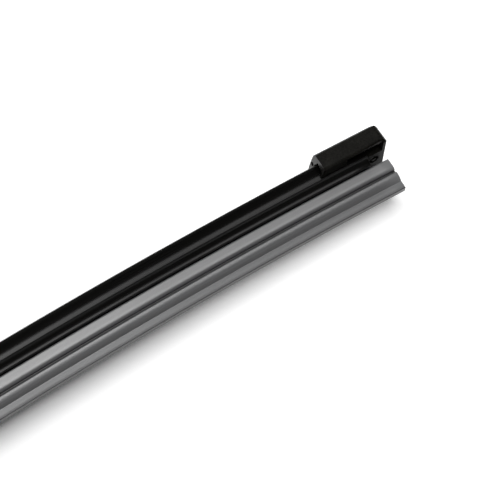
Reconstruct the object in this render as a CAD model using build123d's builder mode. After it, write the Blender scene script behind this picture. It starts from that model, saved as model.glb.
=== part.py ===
"""Flat wiper blade lying on its side, in millimetres.

X runs along the blade, +Y is the cover side, -Y the wiping-lip side, and Z is the blade's width.
The origin is the middle of the bore for the arm's side pin. Heights in the cross-section are measured
from the seam between the cover and the rubber's body, positive towards the cover.
"""
import os
from math import atan2, cos, degrees, sin

from build123d import *

os.makedirs("parts", exist_ok=True)

# Whole blade
blade_length = 350.0  # rubber strip, measured along the bow
bow_radius = 1500.0  # free bow of the seam, ends bending towards the lip

# Spring rails
rail_width = 2.9
rail_thickness = 1.0
rail_fit = 0.05  # gap on each face of a rail
rail_setback = 0.6  # rails stop short of the end of the cover

# Rubber strip, from the head down to the lip
head_width = 5.6
head_flange = 1.2  # height of the flange above and below the rail slots
rail_web = 2.4  # rubber left between the two rail slots
neck_width = 2.8
neck_height = 0.9
body_width = 4.9
body_height = 3.3
body_edge = 0.3  # bevel of the body's upper long edges
body_under_bevel = 0.6  # bevel of its lower long edges
tilt_web_width = 2.8
tilt_web_height = 0.25
shoulder_width = 4.1
shoulder_height = 0.35
shoulder_slope = 0.6  # fall of the shoulder's upper face towards its edge
taper_height = 1.9
taper_swell = 0.22  # swell of the sides between shoulder and lip
lip_root_width = 2.0
lip_width = 1.6
lip_height = 2.0
rubber_setback = 0.6  # rubber short of the outer face of each end cap

# Cover
cover_fit = 0.15  # gap around the rubber's head and the rails
cover_lift = 0.1  # gap above the rubber's body
cover_roof = 0.95
cover_wall = 0.8  # outside the rails, at the ridge between the flutes
ridge_drop = 0.1  # ridge below the lower face of the rails
nose_step = 1.75  # top edge beyond the ridge, on each side
nose_bevel = 0.4
claw_wall = 0.65  # beside the head, at the foot of the cover
claw_gap = 0.25  # between each claw and the neck
upper_flute = 0.55  # hollow of the flute above the ridge
lower_flute = 0.4  # hollow of the flute below the ridge

# End caps
cap_length = 19.2
cap_fit = 0.15  # gap around the cover
cap_roof = 1.65
cap_wall = 1.1
cap_side_gap = 0.65  # between the cover's top edge and the side wall, past the collar
cap_rise = 0.3  # open side of the cap above the cover's ridge
cap_edge = 0.6  # bevel round the roof
cap_mouth_bulge = 1.4  # arc of the mouth, seen from the roof
cap_end_round = 1.8  # upright edges at the outer end
cap_foot_round = 1.3  # lower outer edges
heel_length = 1.9  # slope from the roof to the outer end
heel_drop = 0.8
collar_length = 7.9
slot_width = 3.3
end_wall = 1.2
block_length = 4.2  # solid block between the slots, inside the end wall
block_gap = 0.2  # between the block and the end of the cover
end_drop = 0.45  # block and end wall below the open side
end_foot_bevel = 0.4
block_hole = 2.7  # round core-out in the block, on one side of the middle
block_hole_depth = 2.2
block_hole_side = 1.4
hole_pin = 1.1  # pin left standing in the core-out
pocket = 1.1  # round core-outs in the collar's roof, open at the mouth
pocket_side = 5.7
pocket_depth = 1.6
relief_length = 2.6  # along the cover's upper flutes, as deep as the core-outs
relief_reach = 1.0

# Bracket on the rails
sheet = 1.0
bracket_fit = 0.2  # gap around the rubber's head
hem_fit = 0.1  # gap at the outer edge of each rail
bracket_length = 44.0
claw_length = 9.0
cheek_rim = 1.2  # sheet left round the sleeve

# Connector
pin_bore = 6.4
pin_clear = 0.7  # between the sleeve and the bracket's bridge
sleeve_wall = 1.0
sleeve_fit = 0.05
connector_length = 62.0
connector_lift = 0.4  # lower edge above the seam
connector_fit = 0.2
connector_roof = 1.2
connector_overlap = 5.0  # cover pushed into each end of the connector
connector_edge = 0.9  # bevel round both sides
crown_length = 20.0
flank_length = 15.0
flank_round = 6.0

# Heights above the seam
slot_low = neck_height + head_flange
slot_high = slot_low + rail_thickness + 2 * rail_fit
head_top = slot_high + head_flange
cover_top = head_top + cover_fit + cover_roof
ridge_height = slot_low - ridge_drop
cap_low = ridge_height + cap_rise
end_low = cap_low - end_drop
cap_ceiling = cover_top + cap_fit
cap_top = cap_ceiling + cap_roof
bridge_low = head_top + bracket_fit
bridge_top = bridge_low + sheet
sleeve_radius = pin_bore / 2 + sleeve_wall
pin_rise = bridge_top + pin_clear + sleeve_radius
cheek_radius = sleeve_radius + sleeve_fit + cheek_rim
crown_height = pin_rise + cheek_radius + connector_fit + connector_roof

# Depths below the seam
web_depth = body_height + tilt_web_height
shoulder_depth = web_depth + shoulder_slope + shoulder_height
lip_root_depth = shoulder_depth + taper_height
lip_depth = lip_root_depth + lip_height

# Half widths
head_half = head_width / 2
rail_inner = rail_web / 2 + rail_fit
rail_outer = rail_inner + rail_width
ridge_half = rail_outer + cover_fit + cover_wall
nose_half = ridge_half + nose_step
foot_half = head_half + cover_fit + claw_wall
cap_inner_half = nose_half + cap_side_gap
cap_half = cap_inner_half + cap_wall
block_half = cap_inner_half - slot_width
flute_slope = degrees(atan2(nose_half - ridge_half, cover_top - ridge_height))
hat_inner = head_half + bracket_fit
hat_outer = hat_inner + sheet
hem_inner = rail_outer + hem_fit
hem_outer = hem_inner + sheet

# Stations along the bow, measured from the middle of the blade
rubber_end = blade_length / 2
cap_outer = rubber_end + rubber_setback
cap_inner = cap_outer - cap_length
cap_middle = (cap_inner + cap_outer) / 2
block_start = cap_outer - end_wall - block_length
cover_end = block_start - block_gap
rail_end = cover_end - rail_setback
connector_end = connector_length / 2
cover_start = connector_end - connector_overlap

# The seam is an arc about this axis, and the connector's sketches start from its top
seam_y = -pin_rise
bow_axis = Axis((0, seam_y - bow_radius, 0), (0, 0, 1))
middle_plane = Plane(origin=(0, seam_y, 0))


def section_plane(station):
    """Plane across the blade at a station: local x towards the cover, local y along Z."""
    turn = station / bow_radius
    origin = (bow_radius * sin(turn), seam_y - bow_radius * (1 - cos(turn)), 0)
    return Plane(origin=origin, x_dir=(sin(turn), cos(turn), 0), z_dir=(cos(turn), -sin(turn), 0))


def bow_between(first, last):
    """Angle of the bow, in degrees, between two stations."""
    return degrees((last - first) / bow_radius)


def cover_outline(gap=0.0):
    """Outer outline of the cover on the current sketch, with its corners moved out by a gap."""
    with BuildLine() as half_outline:
        top = Polyline(
            (cover_top + gap, 0),
            (cover_top + gap, nose_half - nose_bevel + gap / 2),
            (cover_top - nose_bevel - gap / 2, nose_half + gap),
        )
        upper = SagittaArc(top @ 1, (ridge_height - gap / 2, ridge_half + gap), upper_flute)
        lower = SagittaArc(upper @ 1, (cover_lift - gap, foot_half + gap), lower_flute)
        Polyline(lower @ 1, (cover_lift - gap, 0), (cover_top + gap, 0))
    make_face(half_outline.edges())
    mirror(about=Plane.XZ)


def block(low, high, half, mode=Mode.ADD):
    """Rectangle across the blade between two heights, centred on its middle plane."""
    with Locations(((low + high) / 2, 0)):
        Rectangle(high - low, 2 * half, mode=mode)


def cheek_outline(gap=0.0):
    """Outline of a bracket cheek on the current sketch, seen along the pin and grown by a gap."""
    radius = cheek_radius + gap
    with Locations((0, pin_rise)):
        Circle(radius)
    with Locations((0, (bridge_low + pin_rise) / 2)):
        Rectangle(2 * radius, pin_rise - bridge_low)


def mirrored_end(piece, label):
    """The same piece at the other end of the blade."""
    with BuildPart() as other:
        add(mirror(piece, about=Plane.YZ, mode=Mode.PRIVATE))
    other.part.label = label
    return other.part


# Rubber strip: body and lip over the whole length, head and neck only as far as the cover
with BuildPart() as rubber_strip:
    with BuildSketch(section_plane(rubber_end)) as wiping_section:
        block(-body_height, 0, body_width / 2)
        chamfer(wiping_section.vertices().group_by(Axis.X)[-1], body_edge)
        chamfer(wiping_section.vertices().group_by(Axis.X)[0], body_under_bevel)
        block(-web_depth, -body_height, tilt_web_width / 2)
        with BuildLine():
            shoulder = Polyline(
                (-web_depth, 0),
                (-web_depth, tilt_web_width / 2),
                (-web_depth - shoulder_slope, shoulder_width / 2),
                (-shoulder_depth, shoulder_width / 2),
            )
            taper = SagittaArc(shoulder @ 1, (-lip_root_depth, lip_root_width / 2), -taper_swell)
            Polyline(taper @ 1, (-lip_depth, lip_width / 2), (-lip_depth, 0), (-web_depth, 0))
        make_face()
        mirror(about=Plane.XZ)
    revolve(axis=bow_axis, revolution_arc=bow_between(-rubber_end, rubber_end))
    with BuildSketch(section_plane(cover_end)):
        block(0, neck_height, neck_width / 2)
        block(neck_height, slot_low, head_half)
        block(slot_low, slot_high, rail_web / 2)
        block(slot_high, head_top, head_half)
    revolve(axis=bow_axis, revolution_arc=bow_between(-cover_end, cover_end))
rubber_strip.part.label = "rubber_strip"
export_step(rubber_strip.part, "parts/rubber_strip.step")

# Spring rails: one bowed strip in each slot of the head
for rail_name, side in (("spring_rail_upper", 1), ("spring_rail_lower", -1)):
    with BuildPart() as spring_rail:
        with BuildSketch(section_plane(rail_end)):
            with Locations(((slot_low + slot_high) / 2, side * (rail_inner + rail_outer) / 2)):
                Rectangle(rail_thickness, rail_width)
        revolve(axis=bow_axis, revolution_arc=bow_between(-rail_end, rail_end))
    spring_rail.part.label = rail_name
    export_step(spring_rail.part, f"parts/{rail_name}.step")

# Cover: fluted outside, with a channel for the head and the rails and a slot for the neck
with BuildPart() as cover_right:
    with BuildSketch(section_plane(cover_end)):
        cover_outline()
        block(neck_height - cover_fit, head_top + cover_fit, head_half + cover_fit, Mode.SUBTRACT)
        block(slot_low, slot_high, rail_outer + cover_fit, Mode.SUBTRACT)
        block(cover_lift, neck_height, neck_width / 2 + claw_gap, Mode.SUBTRACT)
    revolve(axis=bow_axis, revolution_arc=bow_between(cover_start, cover_end))
cover_right.part.label = "cover_right"
export_step(cover_right.part, "parts/cover_right.step")
export_step(mirrored_end(cover_right.part, "cover_left"), "parts/cover_left.step")

# End cap: a box open on the lip side, with a collar that grips the cover behind its top edges
cap_plane = section_plane(cap_middle)
mouth_plane = cap_plane.offset(-cap_length / 2)
profile_plane = Plane(origin=mouth_plane.origin, x_dir=cap_plane.z_dir, z_dir=cap_plane.y_dir)
plan_plane = Plane(origin=cap_plane.origin, x_dir=cap_plane.z_dir, z_dir=cap_plane.x_dir)
collar_plane = mouth_plane.offset(collar_length)
block_plane = mouth_plane.offset(block_start - cap_inner)
hole_plane = Plane(
    origin=block_plane.from_local_coords(Vector(end_low, 0, block_length / 2)),
    x_dir=cap_plane.z_dir,
    z_dir=cap_plane.x_dir,
)
with BuildPart() as end_cap_right:
    with BuildSketch(mouth_plane) as across:
        block(end_low, cap_top, cap_half)
        chamfer(across.vertices().group_by(Axis.X)[-1], cap_edge)
        fillet(across.vertices().group_by(Axis.X)[0], cap_foot_round)
    extrude(amount=cap_length)
    with BuildSketch(profile_plane):
        with BuildLine():
            Polyline(
                (0, end_low),
                (cap_length - end_foot_bevel, end_low),
                (cap_length, end_low + end_foot_bevel),
                (cap_length, cap_top - heel_drop),
                (cap_length - heel_length, cap_top),
                (0, cap_top),
                close=True,
            )
        make_face()
    extrude(amount=cap_half, both=True, mode=Mode.INTERSECT)
    with BuildSketch(plan_plane) as plan:
        with BuildLine():
            mouth_side = cap_mouth_bulge - cap_length / 2
            arch = SagittaArc((mouth_side, -cap_half), (mouth_side, cap_half), cap_mouth_bulge)
            Polyline(arch @ 1, (cap_length / 2, cap_half), (cap_length / 2, -cap_half), arch @ 0)
        make_face()
        fillet(plan.vertices().group_by(Axis.X)[-1], cap_end_round)
    extrude(amount=cap_top, mode=Mode.INTERSECT)
    with BuildSketch(mouth_plane):
        block(end_low, cap_low, cap_half)
    extrude(amount=cap_length - end_wall, mode=Mode.SUBTRACT)
    with BuildSketch(mouth_plane):
        cover_outline(cap_fit)
    extrude(amount=collar_length, mode=Mode.SUBTRACT)
    with BuildSketch(collar_plane):
        block(0, cap_ceiling, cap_inner_half)
    extrude(amount=cap_length - collar_length - end_wall, mode=Mode.SUBTRACT)
    with BuildSketch(block_plane):
        block(end_low, cap_ceiling, block_half)
    extrude(amount=block_length)
    with BuildSketch(hole_plane):
        with Locations((0, -block_hole_side)):
            Circle(block_hole / 2)
            Circle(hole_pin / 2, mode=Mode.SUBTRACT)
    extrude(amount=block_hole_depth, mode=Mode.SUBTRACT)
    with BuildSketch(mouth_plane):
        with Locations(Location((cover_top, nose_half, 0), (0, 0, flute_slope))):
            Rectangle(relief_length, 2 * relief_reach, align=(Align.MAX, Align.CENTER))
        mirror(about=Plane.XZ)
        with Locations((cap_ceiling + cap_roof / 2, pocket_side), (cap_ceiling + cap_roof / 2, -pocket_side)):
            Circle(pocket / 2)
    extrude(amount=cap_mouth_bulge + pocket_depth, mode=Mode.SUBTRACT)
end_cap_right.part.label = "end_cap_right"
export_step(end_cap_right.part, "parts/end_cap_right.step")
export_step(mirrored_end(end_cap_right.part, "end_cap_left"), "parts/end_cap_left.step")

# Bracket: folded sheet bridging the head, hemmed round both rails at its ends, with two upright cheeks
with BuildPart() as rail_bracket:
    with BuildSketch(section_plane(bracket_length / 2)):
        with BuildLine():
            Polyline(
                (bridge_top, 0),
                (bridge_top, hat_outer),
                (slot_high + sheet, hat_outer),
                (slot_high + sheet, hem_outer),
                (slot_low - sheet, hem_outer),
                (slot_low - sheet, hat_inner),
                (slot_low, hat_inner),
                (slot_low, hem_inner),
                (slot_high, hem_inner),
                (slot_high, hat_inner),
                (bridge_low, hat_inner),
                (bridge_low, 0),
                close=True,
            )
        make_face()
        mirror(about=Plane.XZ)
    revolve(axis=bow_axis, revolution_arc=bow_between(-bracket_length / 2, bracket_length / 2))
    with BuildSketch(section_plane(0)):
        block(0, bridge_top, hem_outer)
        block(0, bridge_top, hat_outer, Mode.SUBTRACT)
        block(0, slot_low, hat_outer)
    extrude(amount=bracket_length / 2 - claw_length, both=True, mode=Mode.SUBTRACT)
    with BuildSketch(middle_plane.offset(hat_inner)):
        cheek_outline()
        with Locations((0, pin_rise)):
            Circle(sleeve_radius + sleeve_fit, mode=Mode.SUBTRACT)
    extrude(amount=sheet)
    mirror(about=Plane.XY)
rail_bracket.part.label = "rail_bracket"
export_step(rail_bracket.part, "parts/rail_bracket.step")

# Sleeve: the bore for the arm's side pin, flush with both sides of the connector
with BuildPart() as pin_sleeve:
    with BuildSketch():
        Circle(sleeve_radius)
        Circle(pin_bore / 2, mode=Mode.SUBTRACT)
    extrude(amount=cap_half, both=True)
pin_sleeve.part.label = "pin_sleeve"
export_step(pin_sleeve.part, "parts/pin_sleeve.step")

# Connector: humped housing over the bracket, open below, with a socket for the cover at each end
with BuildPart() as connector_body:
    with BuildSketch(middle_plane.offset(-cap_half)) as side_view:
        with BuildLine():
            Polyline(
                (0, crown_height),
                (crown_length / 2, crown_height),
                (crown_length / 2 + flank_length, cap_top),
                (connector_end, cap_top),
                (connector_end, connector_lift),
                (0, connector_lift),
                close=True,
            )
        make_face()
        mirror(about=Plane.YZ)
        fillet(side_view.vertices().group_by(Axis.Y)[-1], flank_round)
        fillet(side_view.vertices().group_by(Axis.Y)[1].sort_by(Axis.X)[1:-1], flank_round)
    extrude(amount=2 * cap_half)
    chamfer(faces().sort_by(Axis.Z)[0].edges() + faces().sort_by(Axis.Z)[-1].edges(), connector_edge)
    with BuildSketch(section_plane(connector_end)):
        cover_outline(connector_fit)
    revolve(axis=bow_axis, revolution_arc=bow_between(-connector_end, connector_end), mode=Mode.SUBTRACT)
    with BuildSketch(section_plane(0)):
        block(0, bridge_top + connector_fit, hem_outer + connector_fit)
    extrude(amount=bracket_length / 2 + connector_fit, both=True, mode=Mode.SUBTRACT)
    with BuildSketch(middle_plane):
        cheek_outline(connector_fit)
    extrude(amount=hat_outer + connector_fit, both=True, mode=Mode.SUBTRACT)
    with BuildSketch():
        Circle(sleeve_radius + sleeve_fit)
    extrude(amount=cap_half, both=True, mode=Mode.SUBTRACT)
connector_body.part.label = "connector_body"
export_step(connector_body.part, "parts/connector_body.step")
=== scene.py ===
"""Looks of a flat wiper blade that lies on its side on a white floor.

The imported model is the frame: X runs along the blade, +Y is the cover side, -Y the lip side, Z the width.
Section points are written as (height, side) in millimetres: height above the seam between cover and rubber,
positive towards the cover, and side along Z. Lengths of the pieces are in millimetres, those of the finishes
and lamps in metres.
"""

import logging
from dataclasses import dataclass
from enum import Enum
from math import cos, pi, radians, sin
from typing import Sequence

import bmesh
import bpy
import numpy as np
from mathutils import Matrix, Vector

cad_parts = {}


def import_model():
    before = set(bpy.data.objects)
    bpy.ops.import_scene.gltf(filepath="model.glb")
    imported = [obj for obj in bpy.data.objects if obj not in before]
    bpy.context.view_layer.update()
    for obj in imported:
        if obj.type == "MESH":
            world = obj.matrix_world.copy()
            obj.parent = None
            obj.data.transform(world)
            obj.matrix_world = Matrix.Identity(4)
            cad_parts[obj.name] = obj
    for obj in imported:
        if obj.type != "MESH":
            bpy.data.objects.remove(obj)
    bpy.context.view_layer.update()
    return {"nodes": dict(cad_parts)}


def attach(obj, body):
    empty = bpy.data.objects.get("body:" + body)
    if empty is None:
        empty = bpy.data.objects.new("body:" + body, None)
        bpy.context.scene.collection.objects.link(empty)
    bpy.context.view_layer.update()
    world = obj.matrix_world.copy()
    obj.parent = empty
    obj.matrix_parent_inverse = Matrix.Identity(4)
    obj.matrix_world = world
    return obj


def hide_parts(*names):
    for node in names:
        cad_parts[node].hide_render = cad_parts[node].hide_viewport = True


LOG = logging.getLogger("wiper_blade")
MM = 0.001
BODY = "root"
Point = tuple[float, float]
Triple = tuple[float, float, float]
Colour = Triple
Rgba = tuple[float, float, float, float]
Socket = bpy.types.NodeSocket
WHITE: Colour = (1.0, 1.0, 1.0)
UNIT_RANGE: Point = (0.0, 1.0)
NOISE_RANGE: Point = (0.3, 0.7)
MIX_COLOUR_INPUTS = (0, 6, 7)
MIX_COLOUR_OUTPUT = 2
FLAT_MARGIN = 0.05
FLAT_SHARE = 0.15
END_TURNS = np.radians((45.0, 90.0))


class Slot(Enum):
    """Material slots of the record, one for each finish of the pieces."""

    RUBBER = "wiping_rubber"
    COVER = "cover_rubber"
    CAP = "cap_plastic"
    CONNECTOR = "connector_plastic"
    SLEEVE = "sleeve_steel"


class End(Enum):
    """The two ends of the blade, by the sign of X."""

    RIGHT = 1.0
    LEFT = -1.0


def put(name: str, data: bpy.types.ID) -> bpy.types.Object:
    """Adds an object to the scene.

    Args:
        name: name of the object.
        data: its mesh, light or camera.

    Returns:
        The new object.
    """
    thing = bpy.data.objects.new(name, data)
    bpy.context.scene.collection.objects.link(thing)
    return thing


# Finishes


def opaque(colour: Colour) -> Rgba:
    """The colour with full alpha."""
    return (*colour, 1.0)


@dataclass(frozen=True)
class Noise:
    """A noise pattern.

    Attributes:
        repeats: pattern repeats per metre along each axis.
        detail: octaves of finer noise.
        rough: weight of each finer octave.
        attribute: vertex attribute with the coordinates, or empty for Object coordinates.
    """

    repeats: Triple
    detail: float = 3.0
    rough: float = 0.5
    attribute: str = ""


class ShaderGraph:
    """A node tree, with short calls to add nodes and join them."""

    def __init__(self, tree: bpy.types.NodeTree) -> None:
        """Takes a tree to work on.

        Args:
            tree: the tree that nodes go into.
        """
        self.tree = tree

    def add(self, kind: str, **settings: object) -> bpy.types.Node:
        """Adds a node and sets its properties.

        Args:
            kind: the node's type name.
            settings: properties of the node by name.

        Returns:
            The new node.
        """
        node = self.tree.nodes.new(kind)
        for key, value in settings.items():
            setattr(node, key, value)
        return node

    def join(self, source: Socket | float | Rgba, target: Socket) -> None:
        """Links a socket to an input, or sets the input to a constant."""
        if isinstance(source, Socket):
            self.tree.links.new(source, target)
        else:
            target.default_value = source

    def math(self, operation: str, *values: Socket | float) -> Socket:
        """Calculates with values.

        Args:
            operation: name of the Math node's operation.
            values: its inputs in order.

        Returns:
            The result.
        """
        node = self.add("ShaderNodeMath", operation=operation)
        for value, target in zip(values, node.inputs):
            self.join(value, target)
        return node.outputs[0]

    def ramp(self, value: Socket, given: Point, result: Point, eased: bool = False) -> Socket:
        """Maps a value from one range to another, held at the ends.

        Args:
            value: the value to map.
            given: range of the value.
            result: range of the result.
            eased: whether the result starts and stops smoothly.

        Returns:
            The mapped value.
        """
        node = self.add("ShaderNodeMapRange", interpolation_type="SMOOTHSTEP" if eased else "LINEAR")
        self.join(value, node.inputs["Value"])
        for key, number in zip(("From Min", "From Max", "To Min", "To Max"), (*given, *result)):
            self.join(number, node.inputs[key])
        return node.outputs["Result"]

    def rays(self) -> tuple[Socket, Socket, Socket]:
        """Whether a ray is a camera ray, a glossy ray or a transmission ray."""
        outputs = self.add("ShaderNodeLightPath").outputs
        return outputs["Is Camera Ray"], outputs["Is Glossy Ray"], outputs["Is Transmission Ray"]

    def light(self, kind: str, strength: Socket | float) -> Socket:
        """Adds plain white light.

        Args:
            kind: type name of an emission or background node.
            strength: its brightness.

        Returns:
            The shader.
        """
        node = self.add(kind)
        self.join(opaque(WHITE), node.inputs["Color"])
        self.join(strength, node.inputs["Strength"])
        return node.outputs[0]

    def mix(self, share: Socket, first: Socket, second: Socket) -> Socket:
        """Mixes two shaders: a share of 0 gives the first, 1 the second."""
        node = self.add("ShaderNodeMixShader")
        for source, target in zip((share, first, second), node.inputs):
            self.join(source, target)
        return node.outputs[0]


class NodeBench(ShaderGraph):
    """The node tree of a new material with a Principled shader."""

    def __init__(self, name: str) -> None:
        """Starts a material.

        Args:
            name: name of the material.
        """
        self.material = bpy.data.materials.new(name)
        self.material.use_nodes = True
        super().__init__(self.material.node_tree)
        self.shader = self.tree.nodes["Principled BSDF"]

    def noise(self, pattern: Noise) -> Socket:
        """The value of a noise pattern, from 0 to 1."""
        if pattern.attribute:
            place = self.add("ShaderNodeAttribute", attribute_name=pattern.attribute).outputs["Vector"]
        else:
            place = self.add("ShaderNodeTexCoord").outputs["Object"]
        mapping = self.add("ShaderNodeMapping")
        mapping.inputs["Scale"].default_value = pattern.repeats
        self.join(place, mapping.inputs["Vector"])
        texture = self.add("ShaderNodeTexNoise")
        self.join(mapping.outputs["Vector"], texture.inputs["Vector"])
        for key, number in (("Scale", 1.0), ("Detail", pattern.detail), ("Roughness", pattern.rough)):
            self.join(number, texture.inputs[key])
        return texture.outputs["Fac"]

    def spread(self, noise: Socket, result: Point) -> Socket:
        """Maps the middle part of a noise value to a range, held at its ends."""
        return self.ramp(noise, NOISE_RANGE, result)

    def weight(self, attribute: str) -> Socket:
        """The value of an attribute of the mesh."""
        return self.add("ShaderNodeAttribute", attribute_name=attribute).outputs["Fac"]

    def tint(self, value: Socket, first: Socket | Rgba, second: Socket | Rgba) -> Socket:
        """Blends two colours: a value of 0 gives the first, 1 the second."""
        node = self.add("ShaderNodeMix", data_type="RGBA")
        for source, number in zip((value, first, second), MIX_COLOUR_INPUTS):
            self.join(source, node.inputs[number])
        return node.outputs[MIX_COLOUR_OUTPUT]

    def give(self, name: str, value: Socket | float) -> None:
        """Sets one of the shader's inputs by its name."""
        self.join(value, self.shader.inputs[name])

    def shine(self, plain: float, attribute: str, marked: float) -> None:
        """Sets the specular level, which an attribute of the mesh may change from place to place.

        Args:
            plain: level where the attribute is 0.
            attribute: name of the attribute.
            marked: level where the attribute is 1.
        """
        self.give("Specular IOR Level", plain)
        if marked != plain:
            level = self.ramp(self.weight(attribute), UNIT_RANGE, (plain, marked))
            self.give("Specular IOR Level", level)

    def bump(self, height: Socket, strength: float, depth: float) -> None:
        """Raises the surface by a height pattern.

        Args:
            height: pattern from 0 to 1.
            strength: share of the effect.
            depth: height of the pattern.
        """
        node = self.add("ShaderNodeBump")
        for key, value in (("Strength", strength), ("Distance", depth), ("Height", height)):
            self.join(value, node.inputs[key])
        self.give("Normal", node.outputs["Normal"])


@dataclass(frozen=True)
class ExtrudedFinish:
    """Rubber drawn through a die: fine streaks along the length, and a soft speckle."""

    name: str
    dark: Colour
    pale: Colour
    sheen: Point
    specular: float
    # shine on the lip, and in the fold as painted shade
    matt_and_fold_shade_specular: float
    streak_width: float
    # colour of uncoated edges, also painted as shade into the fold above the shoulder
    bare_and_fold_shade: Colour
    # pale colour painted as light on the rubber's cut ends
    end_light: Colour
    streak_repeat: float = 9.0
    speckle: Noise = Noise((2600.0, 2600.0, 2600.0), 2.0, 0.6)
    cloud: Noise = Noise((38.0, 38.0, 38.0), 2.0)
    streak_shade: Point = (0.05, 0.6)
    speckle_shade: float = 0.45
    cloud_sheen: Point = (-0.03, 0.03)
    grain: float = 0.12
    grain_depth: float = 0.02 * MM

    def material(self) -> bpy.types.Material:
        """Builds the finish from streaks along the "lay" attribute and a speckle in Object coordinates."""
        bench = NodeBench(self.name)
        streak = bench.noise(Noise((self.streak_repeat, 1.0 / self.streak_width, 1.0), attribute="lay"))
        speckle = bench.noise(self.speckle)
        cloud = bench.noise(self.cloud)
        streak_shade = bench.spread(streak, self.streak_shade)
        shade = bench.math("MULTIPLY_ADD", speckle, self.speckle_shade, streak_shade)
        coat = bench.tint(shade, opaque(self.dark), opaque(self.pale))
        # The pale end colour is painted light on the rubber's cut ends.
        # The uncoated colour also paints shade into the rubber's fold above the shoulder.
        for attribute, colour in (("painted_end_light", self.end_light), ("bare_edge_and_fold_shade", self.bare_and_fold_shade)):
            coat = bench.tint(bench.weight(attribute), coat, opaque(colour))
        bench.give("Base Color", coat)
        polish = bench.math("ADD", bench.spread(streak, self.sheen), bench.spread(cloud, self.cloud_sheen))
        bench.give("Roughness", polish)
        # Shine drops on the lip, and in the rubber's fold as painted shade.
        bench.shine(self.specular, "matt", self.matt_and_fold_shade_specular)
        bench.bump(speckle, self.grain, self.grain_depth)
        return bench.material


@dataclass(frozen=True)
class MouldedFinish:
    """Moulded plastic with a spark-eroded grain, which may shine more on its smooth faces."""

    name: str
    dark: Colour
    pale: Colour
    roughness: Point
    grain_size: float
    grain_strength: float
    specular: float = 0.5
    smooth_specular: float = 0.5
    grain_rough: float = 0.55
    blotch: Noise = Noise((260.0, 260.0, 260.0))
    grain_shade: float = 0.6
    blotch_shade: Point = (0.0, 0.4)
    grain_depth: float = 0.05 * MM

    def material(self) -> bpy.types.Material:
        """Builds the grain from noise that also varies the roughness and, with broad blotches, the colour."""
        bench = NodeBench(self.name)
        repeat = 1.0 / self.grain_size
        grain = bench.noise(Noise((repeat, repeat, repeat), rough=self.grain_rough))
        blotch = bench.spread(bench.noise(self.blotch), self.blotch_shade)
        shade = bench.math("MULTIPLY_ADD", bench.spread(grain, UNIT_RANGE), self.grain_shade, blotch)
        bench.give("Base Color", bench.tint(shade, opaque(self.dark), opaque(self.pale)))
        bench.give("Roughness", bench.spread(grain, self.roughness))
        bench.shine(self.specular, "smooth_face", self.smooth_specular)
        bench.bump(grain, self.grain_strength, self.grain_depth)
        return bench.material


@dataclass(frozen=True)
class SteelFinish:
    """Rolled or drawn steel with fine lines along one direction."""

    name: str
    dark: Colour
    pale: Colour
    roughness: Point
    lines: Noise
    metallic: float = 1.0
    line_strength: float = 0.1
    line_depth: float = 0.01 * MM

    def material(self) -> bpy.types.Material:
        """Builds stretched noise lines that vary colour, roughness and relief."""
        bench = NodeBench(self.name)
        lines = bench.noise(self.lines)
        shade = bench.spread(lines, UNIT_RANGE)
        bench.give("Base Color", bench.tint(shade, opaque(self.dark), opaque(self.pale)))
        bench.give("Roughness", bench.spread(lines, self.roughness))
        bench.give("Metallic", self.metallic)
        bench.bump(lines, self.line_strength, self.line_depth)
        return bench.material


# Section outlines


def unit(vector: np.ndarray) -> np.ndarray:
    """The vector with length 1."""
    return vector / np.linalg.norm(vector)


@dataclass(frozen=True)
class Corner:
    """A corner of a section outline.

    Attributes:
        at: its (height, side).
        radius: rounding radius, 0 for none.
        steps: points on the rounding.
        run_in: how many times further from the corner the rounding starts than it ends.
    """

    at: Point
    radius: float = 0.0
    steps: int = 5
    run_in: float = 1.0

    def bend(self, before: np.ndarray, after: np.ndarray) -> np.ndarray:
        """Rounds the corner.

        The rounding ends where a circle of the radius touches the side: radius over the tangent of half the
        corner's angle away from the corner. It starts as far from the corner, times run_in. Between those
        points it is the parabola with the corner as its control point. One more point on each side keeps the
        flats flat in smooth shading.

        Args:
            before: the point before the corner.
            after: the point after the corner.

        Returns:
            The points in order, one row each.
        """
        corner = np.asarray(self.at, float)
        back, ahead = unit(before - corner), unit(after - corner)
        half = np.arccos(np.clip(back @ ahead, -1.0, 1.0)) / 2.0
        reach = self.radius / np.tan(half)
        start, stop = corner + back * reach * self.run_in, corner + ahead * reach
        t = np.linspace(0.0, 1.0, self.steps)[:, None]
        curve = (1 - t) ** 2 * start + 2 * t * (1 - t) * corner + t**2 * stop
        margin = FLAT_MARGIN + FLAT_SHARE * reach
        return np.vstack([start + back * margin, curve, stop + ahead * margin])


def hollow(start: Point, stop: Point, depth: float, steps: int = 12) -> np.ndarray:
    """Points of a scallop between two points, without its ends.

    The scallop is the straight line between them plus four times depth times t times (1 - t), to the left of
    the direction of travel.

    Args:
        start: first end.
        stop: second end.
        depth: depth of the scallop at its middle.
        steps: number of points.

    Returns:
        The points in order, one row each.
    """
    first, last = np.asarray(start, float), np.asarray(stop, float)
    t = np.linspace(0.0, 1.0, steps + 2)[1:-1, None]
    along = unit(last - first)
    left = np.array([-along[1], along[0]])
    return first + (last - first) * t + left * 4.0 * depth * t * (1.0 - t)


def trace(path: Sequence[Corner | np.ndarray]) -> np.ndarray:
    """Follows corners and curves, and closes the outline with its mirror image in the middle plane.

    The corners beside a curve are rounded towards its first and last point, which are then left out.

    Args:
        path: corners and curves from the top middle round the +side to the bottom middle, none on side 0.

    Returns:
        The whole outline in order, one row for each point.
    """
    runs = [np.array([part.at]) if isinstance(part, Corner) else part for part in path]
    parts = []
    for number, (part, run) in enumerate(zip(path, runs)):
        if isinstance(part, np.ndarray):
            parts.append(run[1:-1])
        elif part.radius:
            parts.append(part.bend(runs[number - 1][-1], runs[number + 1][0]))
        else:
            parts.append(run)
    half = np.vstack(parts)
    return np.vstack([half, half[::-1] * (1.0, -1.0)])


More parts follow.
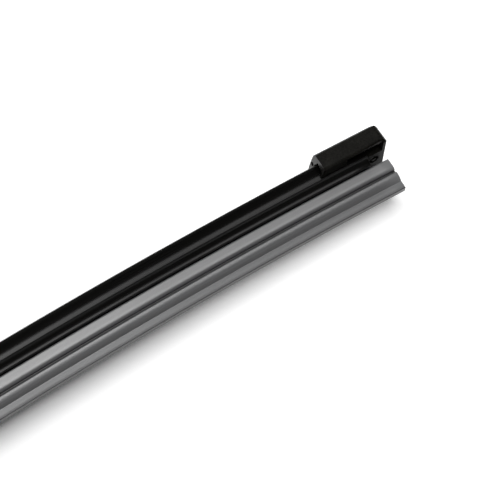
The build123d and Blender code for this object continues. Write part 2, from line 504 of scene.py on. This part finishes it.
@dataclass(frozen=True)
class Bow:
    """The blade's bow: an arc that the sections are carried along."""

    radius: float = 1500.0
    seam: float = -10.5

    def carry(self, outlines: np.ndarray, stations: np.ndarray) -> np.ndarray:
        """Places section outlines along the bow.

        A point at height h and side s on the section at arc length a goes to x = (R + h) sin(a / R),
        y = (R + h) cos(a / R) - R + seam, z = s, with R the bow's radius.

        Args:
            outlines: array of station, point, (height, side).
            stations: arc length of each section from the middle of the blade.

        Returns:
            Array of station, point, (x, y, z), in metres.
        """
        turn = (stations / self.radius)[:, None]
        reach = self.radius + outlines[..., 0]
        return MM * np.stack(
            [reach * np.sin(turn), reach * np.cos(turn) - self.radius + self.seam, outlines[..., 1]], axis=-1
        )


@dataclass(frozen=True)
class Shell:
    """A closed surface.

    Attributes:
        vertices: one row each, in metres.
        faces: loops of vertex numbers that point outwards.
        lay: for each vertex the arc length along the bow and round the outline, and 0, in metres.
    """

    vertices: np.ndarray
    faces: list[list[int]]
    lay: np.ndarray


@dataclass
class Extrusion:
    """A closed section drawn along the bow, with a small rounding at each cut end."""

    outline: np.ndarray
    first: float
    last: float
    bow: Bow
    pitch: float = 5.0
    end_edge: float = 0.06

    def is_anticlockwise(self) -> bool:
        """Whether the outline's signed area is positive."""
        ahead = np.roll(self.outline, -1, axis=0)
        return bool(np.sum(self.outline[:, 0] * ahead[:, 1] - self.outline[:, 1] * ahead[:, 0]) > 0.0)

    def rings(self) -> tuple[np.ndarray, np.ndarray]:
        """Sections and their stations, drawn in a little at both ends.

        The two outermost sections of each end finish a quarter circle: at angle q the station is the edge's
        radius times (1 - sin q) short of the end, and the outline is drawn in by the radius times
        (1 - cos q).

        Returns:
            The outlines, one for each station, and the stations.
        """
        count = max(2, int((self.last - self.first) / self.pitch))
        middle = np.linspace(self.first + self.end_edge, self.last - self.end_edge, count + 1)
        back = self.end_edge * (1.0 - np.sin(END_TURNS))
        inset = self.end_edge * (1.0 - np.cos(END_TURNS))
        stations = np.concatenate([(self.first + back)[::-1], middle, self.last - back])
        drawn = np.concatenate([inset[::-1], np.zeros(count + 1), inset])
        along = np.roll(self.outline, -1, axis=0) - np.roll(self.outline, 1, axis=0)
        inward = np.column_stack([-along[:, 1], along[:, 0]]) / np.linalg.norm(along, axis=1)[:, None]
        inward = inward if self.is_anticlockwise() else -inward
        return self.outline + drawn[:, None, None] * inward, stations

    def shell(self) -> Shell:
        """The closed surface with its pattern coordinates."""
        outlines, stations = self.rings()
        points = self.bow.carry(outlines, stations)
        rows, columns = points.shape[:2]
        index = np.arange(rows * columns).reshape(rows, columns)
        ahead = np.roll(index, -1, axis=1)
        quads = np.stack([index[:-1], index[1:], ahead[1:], ahead[:-1]], axis=-1).reshape(-1, 4)
        ends = [index[0], index[-1][::-1]]
        if not self.is_anticlockwise():
            quads, ends = quads[:, ::-1], [ring[::-1] for ring in ends]
        step = np.linalg.norm(np.diff(self.outline, axis=0, prepend=self.outline[-1:]), axis=1)
        girth = np.cumsum(step) - step[0]
        lay = np.zeros((rows, columns, 3))
        lay[..., 0] = stations[:, None] * MM
        lay[..., 1] = girth[None, :] * MM
        faces = quads.tolist() + [ring.tolist() for ring in ends]
        return Shell(points.reshape(-1, 3), faces, lay.reshape(-1, 3))


def make_piece(
    name: str, shells: Sequence[Shell], material: bpy.types.Material, **weights: np.ndarray
) -> bpy.types.Object:
    """Puts closed shells into one mesh object at the origin.

    Args:
        name: name of the object.
        shells: its surfaces.
        material: its finish.
        weights: further attributes by name, a number for each vertex.

    Returns:
        The new object, smooth shaded but for its flat ends, with the attribute "lay" and the further ones.
    """
    offsets = np.cumsum([0] + [len(shell.vertices) for shell in shells[:-1]])
    faces = [
        [i + int(offset) for i in face] for shell, offset in zip(shells, offsets) for face in shell.faces
    ]
    mesh = bpy.data.meshes.new(name)
    mesh.from_pydata(np.vstack([shell.vertices for shell in shells]), [], faces)
    mesh.polygons.foreach_set("use_smooth", np.array([len(face) == 4 for face in faces]))
    lay = np.vstack([shell.lay for shell in shells]).astype(np.float32)
    mesh.attributes.new("lay", "FLOAT_VECTOR", "POINT").data.foreach_set("vector", lay.ravel())
    for key, numbers in weights.items():
        mesh.attributes.new(key, "FLOAT", "POINT").data.foreach_set("value", numbers.astype(np.float32))
    mesh.materials.append(material)
    mesh.update()
    return put(name, mesh)


def settle(piece: bpy.types.Object, slot: Slot, *nodes: str) -> bpy.types.Object:
    """Makes a piece ride on the blade and stand for its nodes."""
    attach(piece, BODY)
    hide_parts(*nodes)
    LOG.info("%s: %d faces for %s", piece.name, len(piece.data.polygons), ", ".join(nodes))
    return piece


# Pieces


@dataclass
class WipingRubber:
    """The grey rubber strip: body and lip over the whole length, head and neck inside the cover."""

    bow: Bow
    half_length: float = 175.0
    head_end: float = 170.0
    pitch: float = 3.0
    # Body, tilting web, shoulder and lip
    top_middle: float = 0.3
    body_half: float = 2.45
    body_height: float = 3.3
    body_edge: float = 0.4
    body_foot_edge: float = 0.75
    body_foot_steps: int = 13
    body_foot_run_in: float = 1.8
    web_half: float = 1.4
    web_depth: float = 3.55
    web_top_edge: float = 0.05
    web_edge: float = 0.06
    shoulder_half: float = 2.05
    shoulder_top: float = 4.15
    shoulder_depth: float = 4.5
    shoulder_rim_edge: float = 0.3
    shoulder_edge: float = 0.4
    lip_root_half: float = 1.0
    lip_root_depth: float = 6.4
    lip_root_edge: float = 0.12
    lip_half: float = 0.8
    lip_depth: float = 8.4
    lip_edge: float = 0.05
    lip_middle: float = 0.1
    taper_swell: float = 0.22
    lip_swell: float = 0.1
    # Head and neck
    neck_half: float = 1.4
    neck_height: float = 0.9
    neck_root: float = 0.3
    head_half: float = 2.8
    head_top: float = 4.4
    head_edge: float = 0.2
    head_side_edge: float = 0.12
    slot_low: float = 2.1
    slot_high: float = 3.2
    slot_half: float = 1.2
    slot_edge: float = 0.1
    # Places where the finish changes, and where shade is painted into the fold
    fold_gain: float = 1.6
    fold_margin: float = 0.01
    cut_height: float = 0.12
    cut_width: float = 0.3
    line_height: float = 0.5
    line_half: float = 0.09
    line_weight: float = 0.4
    matt_fade: float = 0.5
    matt_shoulder: float = 1.0 / 3.0
    # reach of the painted light at each cut end
    end_light_length: float = 8.0

    def wiping_outline(self) -> np.ndarray:
        """Outline of body, tilting web, shoulder and lip."""
        body_foot = (-self.body_height, self.body_half)
        shoulder = (-self.shoulder_depth, self.shoulder_half)
        lip_root = (-self.lip_root_depth, self.lip_root_half)
        lip = (-self.lip_depth, self.lip_half)
        return trace(
            [
                Corner((0.0, self.top_middle)),
                Corner((0.0, self.body_half), self.body_edge),
                Corner(body_foot, self.body_foot_edge, self.body_foot_steps, self.body_foot_run_in),
                Corner((-self.body_height, self.web_half), self.web_top_edge),
                Corner((-self.web_depth, self.web_half), self.web_edge),
                Corner((-self.shoulder_top, self.shoulder_half), self.shoulder_rim_edge),
                Corner(shoulder, self.shoulder_edge),
                hollow(shoulder, lip_root, -self.taper_swell),
                Corner(lip_root, self.lip_root_edge),
                hollow(lip_root, lip, -self.lip_swell),
                Corner(lip, self.lip_edge),
                Corner((-self.lip_depth, self.lip_middle)),
            ]
        )

    def head_outline(self) -> np.ndarray:
        """Outline of head and neck with a rail slot on each side."""
        return trace(
            [
                Corner((self.head_top, self.top_middle)),
                Corner((self.head_top, self.head_half), self.head_edge),
                Corner((self.slot_high, self.head_half), self.head_side_edge),
                Corner((self.slot_high, self.slot_half), self.slot_edge),
                Corner((self.slot_low, self.slot_half), self.slot_edge),
                Corner((self.slot_low, self.head_half), self.head_side_edge),
                Corner((self.neck_height, self.head_half), self.head_side_edge),
                Corner((self.neck_height, self.neck_half), self.head_edge),
                Corner((-self.neck_root, self.neck_half)),
                Corner((-self.neck_root, self.top_middle)),
            ]
        )

    def fold(self, outline: np.ndarray) -> np.ndarray:
        """How deep each outline point is in the fold above the shoulder, where shade is painted: 1 beside the
        web, 0 at the rim.
        """
        depth, side = -outline[:, 0], np.abs(outline[:, 1])
        above_rim = (self.shoulder_top - depth) / (self.shoulder_top - self.web_depth)
        inside = (depth > self.body_height - self.fold_margin) & (side < self.shoulder_half)
        return inside * np.clip(self.fold_gain * above_rim, 0.0, 1.0)

    def bare_edge_and_fold_shade(self, outline: np.ndarray) -> np.ndarray:
        """How far each outline point takes the uncoated colour, which also serves as painted shade.

        The coating is missing on the cut edge of the lip, and a fainter line runs along the lip's sides, a
        little above the edge. Inside the fold above the shoulder the same dark colour is painted shade.
        """
        above, side = outline[:, 0] + self.lip_depth, np.abs(outline[:, 1])
        cut = (above < self.cut_height) & (side > self.lip_half - self.cut_width)
        line = (np.abs(above - self.line_height) < self.line_half) & (side > self.lip_half / 2.0)
        # the fold term is painted shade in the crease above the shoulder
        return cut * 1.0 + line * self.line_weight + self.fold(outline)

    def matt(self, outline: np.ndarray) -> np.ndarray:
        """How much less each outline point shines.

        It is 0 on the body, a part from the shoulder on, and 1 on the lip; in the fold it is 1 too, as
        painted shade.
        """
        below_web, below_root = (
            np.clip((-outline[:, 0] - depth) / self.matt_fade, 0.0, 1.0)
            for depth in (self.web_depth, self.lip_root_depth)
        )
        lower = self.matt_shoulder * below_web + (1.0 - self.matt_shoulder) * below_root
        return np.maximum(lower, self.fold(outline))

    def painted_end_light(self, stations: np.ndarray) -> np.ndarray:
        """How much painted light the strip takes at each station: 1 at the cut ends, 0 from a little way in.
        """
        return np.clip(1.0 - (self.half_length - np.abs(stations)) / self.end_light_length, 0.0, 1.0) ** 2

    def build(self, material: bpy.types.Material) -> bpy.types.Object:
        """Draws both sections along the bow and dresses the piece.

        Args:
            material: finish of the piece.

        Returns:
            The new piece.
        """
        outline = self.wiping_outline()
        wiping = Extrusion(outline, -self.half_length, self.half_length, self.bow, self.pitch).shell()
        head = Extrusion(self.head_outline(), -self.head_end, self.head_end, self.bow).shell()
        rows, inside = len(wiping.vertices) // len(outline), np.zeros(len(head.vertices))
        end_face = np.zeros(len(outline))
        # both weights carry painted shade in the fold above the shoulder
        bare_edge_and_fold_shade, matt = (
            np.concatenate([end_face, np.tile(weight, rows - 2), end_face, inside])
            for weight in (self.bare_edge_and_fold_shade(outline), self.matt(outline))
        )
        # painted light on the strip's cut ends
        painted_end_light = np.concatenate([self.painted_end_light(wiping.lay[:, 0] / MM), inside])
        weights = {"bare_edge_and_fold_shade": bare_edge_and_fold_shade, "matt": matt, "painted_end_light": painted_end_light}
        piece = make_piece("wiping_rubber_strip", [wiping, head], material, **weights)
        return settle(piece, Slot.RUBBER, "rubber_strip")


@dataclass
class FlutedCover:
    """The black cover on one side of the connector, with two scallops on each flank."""

    bow: Bow
    end: End
    start: float = 26.0
    stop: float = 170.0
    top: float = 5.5
    middle: float = 0.5
    nose_half: float = 6.85
    nose_bevel: float = 0.4
    nose_top_edge: float = 0.4
    nose_edge: float = 0.12
    ridge_height: float = 2.0
    ridge_half: float = 5.1
    foot_height: float = 0.1
    foot_half: float = 3.6
    upper_flute: float = 0.55
    lower_flute: float = 0.45
    claw_half: float = 1.65
    claw_height: float = 0.75
    channel_half: float = 2.95
    slot_low: float = 2.1
    slot_high: float = 3.2
    slot_half: float = 4.3
    channel_top: float = 4.55
    small_edge: float = 0.1

    def outline(self) -> np.ndarray:
        """Outline of the outside on the +side and then, round the claw, of the channel inside."""
        nose_top = (self.top, self.nose_half - self.nose_bevel)
        nose = (self.top - self.nose_bevel, self.nose_half)
        ridge, foot = (self.ridge_height, self.ridge_half), (self.foot_height, self.foot_half)
        claw_and_channel = (
            (self.foot_height, self.claw_half),
            (self.claw_height, self.claw_half),
            (self.claw_height, self.channel_half),
            (self.slot_low, self.channel_half),
            (self.slot_low, self.slot_half),
            (self.slot_high, self.slot_half),
            (self.slot_high, self.channel_half),
            (self.channel_top, self.channel_half),
        )
        return trace(
            [
                Corner((self.top, self.middle)),
                Corner(nose_top, self.nose_top_edge),
                Corner(nose, self.nose_edge),
                hollow(nose, ridge, self.upper_flute),
                Corner(ridge, self.small_edge),
                hollow(ridge, foot, self.lower_flute),
                Corner(foot, self.small_edge),
                *(Corner(at, self.small_edge) for at in claw_and_channel),
                Corner((self.channel_top, self.middle)),
            ]
        )

    def build(self, material: bpy.types.Material) -> bpy.types.Object:
        """Draws the section along the bow and dresses the piece.

        Args:
            material: finish of the piece.

        Returns:
            The new piece.
        """
        side = self.end.name.lower()
        first, last = sorted((self.end.value * self.start, self.end.value * self.stop))
        shell = Extrusion(self.outline(), first, last, self.bow).shell()
        piece = make_piece(f"fluted_cover_{side}", [shell], material)
        return settle(piece, Slot.COVER, f"cover_{side}")


@dataclass
class MouldedCopy:
    """A moulded piece that keeps its node's shape, with its sharp edges softened."""

    node: str
    name: str
    slot: Slot
    soft_edge: float = 0.12
    edge_segments: int = 2
    merge_distance: float = 0.001
    flat_angle: float = radians(0.6)
    sharp_angle: float = radians(28.0)
    smooth_limit: float = 0.7

    def build(self, nodes: dict[str, bpy.types.Object], material: bpy.types.Material) -> bpy.types.Object:
        """Copies and merges the node's triangles, joins flat ones and bevels what stays sharp.

        Args:
            nodes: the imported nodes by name.
            material: finish of the piece.

        Returns:
            The new piece.
        """
        mesh = nodes[self.node].data.copy()
        mesh.name = self.name
        mesh.materials.clear()
        mesh.materials.append(material)
        work = bmesh.new()
        work.from_mesh(mesh)
        bmesh.ops.remove_doubles(work, verts=work.verts, dist=self.merge_distance * MM)
        bmesh.ops.dissolve_limit(work, angle_limit=self.flat_angle, verts=work.verts, edges=work.edges)
        work.to_mesh(mesh)
        work.free()
        mesh.polygons.foreach_set("use_smooth", np.ones(len(mesh.polygons), bool))
        mesh.set_sharp_from_angle(angle=self.sharp_angle)
        self.mark_smooth_faces(mesh)
        piece = put(self.name, mesh)
        soften = piece.modifiers.new("soft_edges", "BEVEL")
        soften.width = self.soft_edge * MM
        soften.segments = self.edge_segments
        soften.limit_method = "ANGLE"
        soften.angle_limit = self.sharp_angle
        flats = piece.modifiers.new("flat_faces", "WEIGHTED_NORMAL")
        flats.mode = "FACE_AREA"
        flats.keep_sharp = True
        return settle(piece, self.slot, self.node)

    def mark_smooth_faces(self, mesh: bpy.types.Mesh) -> None:
        """Writes 1 to the "smooth_face" attribute of faces that look along the blade, 0 to the others."""
        normals = np.empty(3 * len(mesh.polygons))
        mesh.polygons.foreach_get("normal", normals)
        smooth = (np.abs(normals[::3]) > self.smooth_limit).astype(np.float32)
        mesh.attributes.new("smooth_face", "FLOAT", "FACE").data.foreach_set("value", smooth)


# Studio


@dataclass(frozen=True)
class Lamp:
    """A rectangular lamp.

    Attributes:
        name: name of the lamp.
        place: its centre.
        aim: the point it faces.
        size: its two sides.
        watts: its power.
        mirrored: whether it shows in shiny surfaces.
    """

    name: str
    place: Triple
    aim: Triple
    size: Point
    watts: float
    mirrored: bool = True

    def build(self) -> None:
        """Adds the lamp to the scene."""
        data = bpy.data.lights.new(self.name, "AREA")
        data.shape = "RECTANGLE"
        data.size, data.size_y = self.size
        data.energy = self.watts
        lamp = put(self.name, data)
        lamp.location = self.place
        lamp.rotation_euler = (Vector(self.place) - Vector(self.aim)).to_track_quat("Z", "Y").to_euler()
        lamp.visible_glossy = self.mirrored


LAMPS = (
    Lamp("softbox_middle", (0.0, 0.26, 1.0), (0.0, 0.26, 0.0), (0.45, 0.64), 6.5),
    Lamp("softbox_tip", (0.47, 0.12, 1.0), (0.47, 0.12, 0.0), (0.34, 0.5), 1.9),
    Lamp("front_lamp", (0.2, -0.25, 1.0), (0.15, -0.02, 0.0), (0.3, 0.3), 4.6, mirrored=False),
)


@dataclass
class Studio:
    """White floor, two softboxes overhead, a lamp in front, a dim room and the camera."""

    # Floor: its height in millimetres, and in metres the distances where its rings lie and its light changes
    floor_height: float = -8.6
    floor_rings: tuple[float, ...] = (0.3, 0.6, 1.2, 3.0, 8.0)
    floor_sides: int = 96
    floor_paint: Colour = (0.9, 0.9, 0.9)
    fade_reach: Point = (0.25, 0.7)
    glow_reach: Point = (0.04, 0.26)
    glow: Point = (0.03, 0.4)
    # Room: its light, and the range of directions, by their Y, over which glossy rays come to see it white
    dim: float = 0.1
    behind: Point = (0.1, 0.8)
    # Camera: its target and distance in millimetres, its clipping range in metres
    target: Triple = (133.089, -19.518, 0.0)
    azimuth: float = -36.802
    elevation: float = 64.0
    distance: float = 274.603
    focal_pixels: float = 1147.44
    image_width: float = 500.0
    sensor_width: float = 36.0
    clip: Point = (0.005, 50.0)

    def floor(self) -> bpy.types.Object:
        """A round floor whose far part shows plain white, while the part near the blade keeps its shadow."""
        turn = np.linspace(0.0, 2.0 * pi, self.floor_sides + 1)[:-1]
        rings = np.array(self.floor_rings)[:, None]
        grid = np.stack([rings * np.cos(turn), rings * np.sin(turn), 0.0 * rings * turn], axis=-1)
        vertices = np.vstack([np.zeros((1, 3)), grid.reshape(-1, 3)]) + (0.0, 0.0, self.floor_height * MM)
        index = 1 + np.arange(len(vertices) - 1).reshape(-1, self.floor_sides)
        ahead = np.roll(index, -1, axis=1)
        quads = np.stack([index[:-1], index[1:], ahead[1:], ahead[:-1]], axis=-1).reshape(-1, 4)
        fan = np.column_stack([np.zeros(self.floor_sides, int), index[0], ahead[0]])
        mesh = bpy.data.meshes.new("studio_floor")
        mesh.from_pydata(vertices, [], fan.tolist() + quads.tolist())
        mesh.materials.append(self.floor_material())
        floor = put("studio_floor", mesh)
        return floor

    def floor_material(self) -> bpy.types.Material:
        """Matt white that turns to plain white light with distance, for camera, glossy and transmission rays.

        Nearer in, the camera also sees a faint glow that grows away from the blade's middle, so the shadow is
        lighter at the ends.
        """
        material = bpy.data.materials.new("floor_white")
        material.use_nodes = True
        graph = ShaderGraph(material.node_tree)
        graph.tree.nodes.clear()
        length = graph.add("ShaderNodeVectorMath", operation="LENGTH")
        graph.join(graph.add("ShaderNodeTexCoord").outputs["Object"], length.inputs[0])
        reach = length.outputs["Value"]
        camera, glossy, passing = graph.rays()
        seen = graph.math("MAXIMUM", graph.math("MAXIMUM", camera, glossy), passing)
        share = graph.math("MULTIPLY", graph.ramp(reach, self.fade_reach, UNIT_RANGE, eased=True), seen)
        glow = graph.math("MULTIPLY", graph.ramp(reach, self.glow_reach, self.glow, eased=True), camera)
        paper = graph.add("ShaderNodeBsdfDiffuse")
        graph.join(opaque(self.floor_paint), paper.inputs["Color"])
        near = graph.add("ShaderNodeAddShader")
        graph.join(paper.outputs["BSDF"], near.inputs[0])
        graph.join(graph.light("ShaderNodeEmission", glow), near.inputs[1])
        surface = graph.mix(share, near.outputs["Shader"], graph.light("ShaderNodeEmission", 1.0))
        graph.join(surface, graph.add("ShaderNodeOutputMaterial").inputs["Surface"])
        return material

    def room(self) -> None:
        """White room for the camera, dim for light; glossy rays see the white only behind the blade."""
        world = bpy.data.worlds.new("studio_room")
        bpy.context.scene.world = world
        world.use_nodes = True
        graph = ShaderGraph(world.node_tree)
        graph.tree.nodes.clear()
        split = graph.add("ShaderNodeSeparateXYZ")
        graph.join(graph.add("ShaderNodeTexCoord").outputs["Generated"], split.inputs[0])
        behind = graph.ramp(split.outputs["Y"], self.behind, UNIT_RANGE, eased=True)
        camera, glossy, passing = graph.rays()
        seen = graph.math("MAXIMUM", camera, passing)
        share = graph.math("MAXIMUM", seen, graph.math("MULTIPLY", glossy, behind))
        dim, white = (graph.light("ShaderNodeBackground", strength) for strength in (self.dim, 1.0))
        surface = graph.mix(share, dim, white)
        graph.join(surface, graph.add("ShaderNodeOutputWorld").inputs["Surface"])

    def camera(self) -> None:
        """Places the camera: it looks along the azimuth's direction, tipped down by the elevation."""
        turn, rise = radians(self.azimuth), radians(self.elevation)
        right = Vector((cos(turn), sin(turn), 0.0))
        back = Vector((sin(turn) * cos(rise), -cos(turn) * cos(rise), sin(rise)))
        up = back.cross(right)
        data = bpy.data.cameras.new("photo_camera")
        data.sensor_fit = "HORIZONTAL"
        data.sensor_width = self.sensor_width
        data.lens = self.focal_pixels * self.sensor_width / self.image_width
        data.clip_start, data.clip_end = self.clip
        camera = put("photo_camera", data)
        eye = MM * (Vector(self.target) + back * self.distance)
        camera.matrix_world = Matrix.Translation(eye) @ Matrix((right, up, back)).transposed().to_4x4()
        bpy.context.scene.camera = camera

    def build(self) -> None:
        """Sets up floor, room, lamps and camera."""
        bpy.context.scene.view_settings.view_transform = "Standard"
        self.floor()
        self.room()
        for lamp in LAMPS:
            lamp.build()
        self.camera()


GREY_RUBBER = ExtrudedFinish(
    name="graphite_rubber",
    dark=(0.062, 0.062, 0.063),
    pale=(0.094, 0.094, 0.096),
    sheen=(0.3, 0.38),
    specular=1.0,
    # lower shine on the lip, and in the fold as painted shade
    matt_and_fold_shade_specular=0.5,
    streak_width=0.4 * MM,
    # uncoated edges, and painted shade in the fold above the shoulder
    bare_and_fold_shade=(0.03, 0.03, 0.03),
    # painted light on the cut ends
    end_light=(0.135, 0.136, 0.138),
)
BLACK_RUBBER = ExtrudedFinish(
    name="black_cover_rubber",
    dark=(0.0012, 0.0011, 0.001),
    pale=(0.0026, 0.0025, 0.0022),
    sheen=(0.23, 0.31),
    specular=0.2,
    matt_and_fold_shade_specular=0.2,
    streak_width=0.5 * MM,
    bare_and_fold_shade=(0.01, 0.01, 0.01),
    end_light=(0.01, 0.01, 0.01),
)
CAP_PLASTIC = MouldedFinish(
    name="cap_plastic",
    dark=(0.0004, 0.0004, 0.0003),
    pale=(0.012, 0.0115, 0.0098),
    roughness=(0.26, 0.42),
    grain_size=0.45 * MM,
    grain_strength=0.6,
    specular=0.05,
    smooth_specular=1.0,
)
CONNECTOR_PLASTIC = MouldedFinish(
    name="connector_plastic",
    dark=(0.012, 0.012, 0.0125),
    pale=(0.018, 0.018, 0.019),
    roughness=(0.45, 0.58),
    grain_size=0.3 * MM,
    grain_strength=0.3,
)
RAIL_STEEL = SteelFinish(
    name="spring_steel",
    dark=(0.4, 0.4, 0.41),
    pale=(0.52, 0.52, 0.53),
    roughness=(0.25, 0.4),
    lines=Noise((20.0, 3000.0, 3000.0)),
)
BRACKET_PAINT = SteelFinish(
    name="bracket_paint",
    dark=(0.02, 0.02, 0.02),
    pale=(0.03, 0.03, 0.031),
    roughness=(0.35, 0.5),
    lines=Noise((900.0, 900.0, 900.0)),
    metallic=0.0,
)
SLEEVE_STEEL = SteelFinish(
    name="sleeve_steel",
    dark=(0.45, 0.45, 0.46),
    pale=(0.58, 0.58, 0.59),
    roughness=(0.22, 0.35),
    lines=Noise((2500.0, 2500.0, 60.0)),
)


def main() -> None:
    """Builds the blade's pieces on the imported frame, then the studio."""
    logging.basicConfig(level=logging.INFO, format="%(name)s: %(message)s")
    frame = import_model()
    nodes = frame["nodes"]
    bow = Bow()
    WipingRubber(bow).build(GREY_RUBBER.material())
    black_rubber, cap_plastic = BLACK_RUBBER.material(), CAP_PLASTIC.material()
    for end in End:
        FlutedCover(bow, end).build(black_rubber)
        side = end.name.lower()
        MouldedCopy(f"end_cap_{side}", f"moulded_end_cap_{side}", Slot.CAP).build(nodes, cap_plastic)
    connector = MouldedCopy("connector_body", "moulded_connector", Slot.CONNECTOR, soft_edge=0.2)
    connector.build(nodes, CONNECTOR_PLASTIC.material())
    sleeve = MouldedCopy("pin_sleeve", "drawn_pin_sleeve", Slot.SLEEVE, soft_edge=0.15)
    sleeve.build(nodes, SLEEVE_STEEL.material())
    rail_steel, bracket_paint = RAIL_STEEL.material(), BRACKET_PAINT.material()
    for name, material in (
        ("spring_rail_upper", rail_steel), ("spring_rail_lower", rail_steel), ("rail_bracket", bracket_paint)
    ):
        nodes[name].data.materials.clear()
        nodes[name].data.materials.append(material)
        LOG.info("%s: node with a new finish", name)
    Studio().build()


if __name__ == "__main__":
    main()
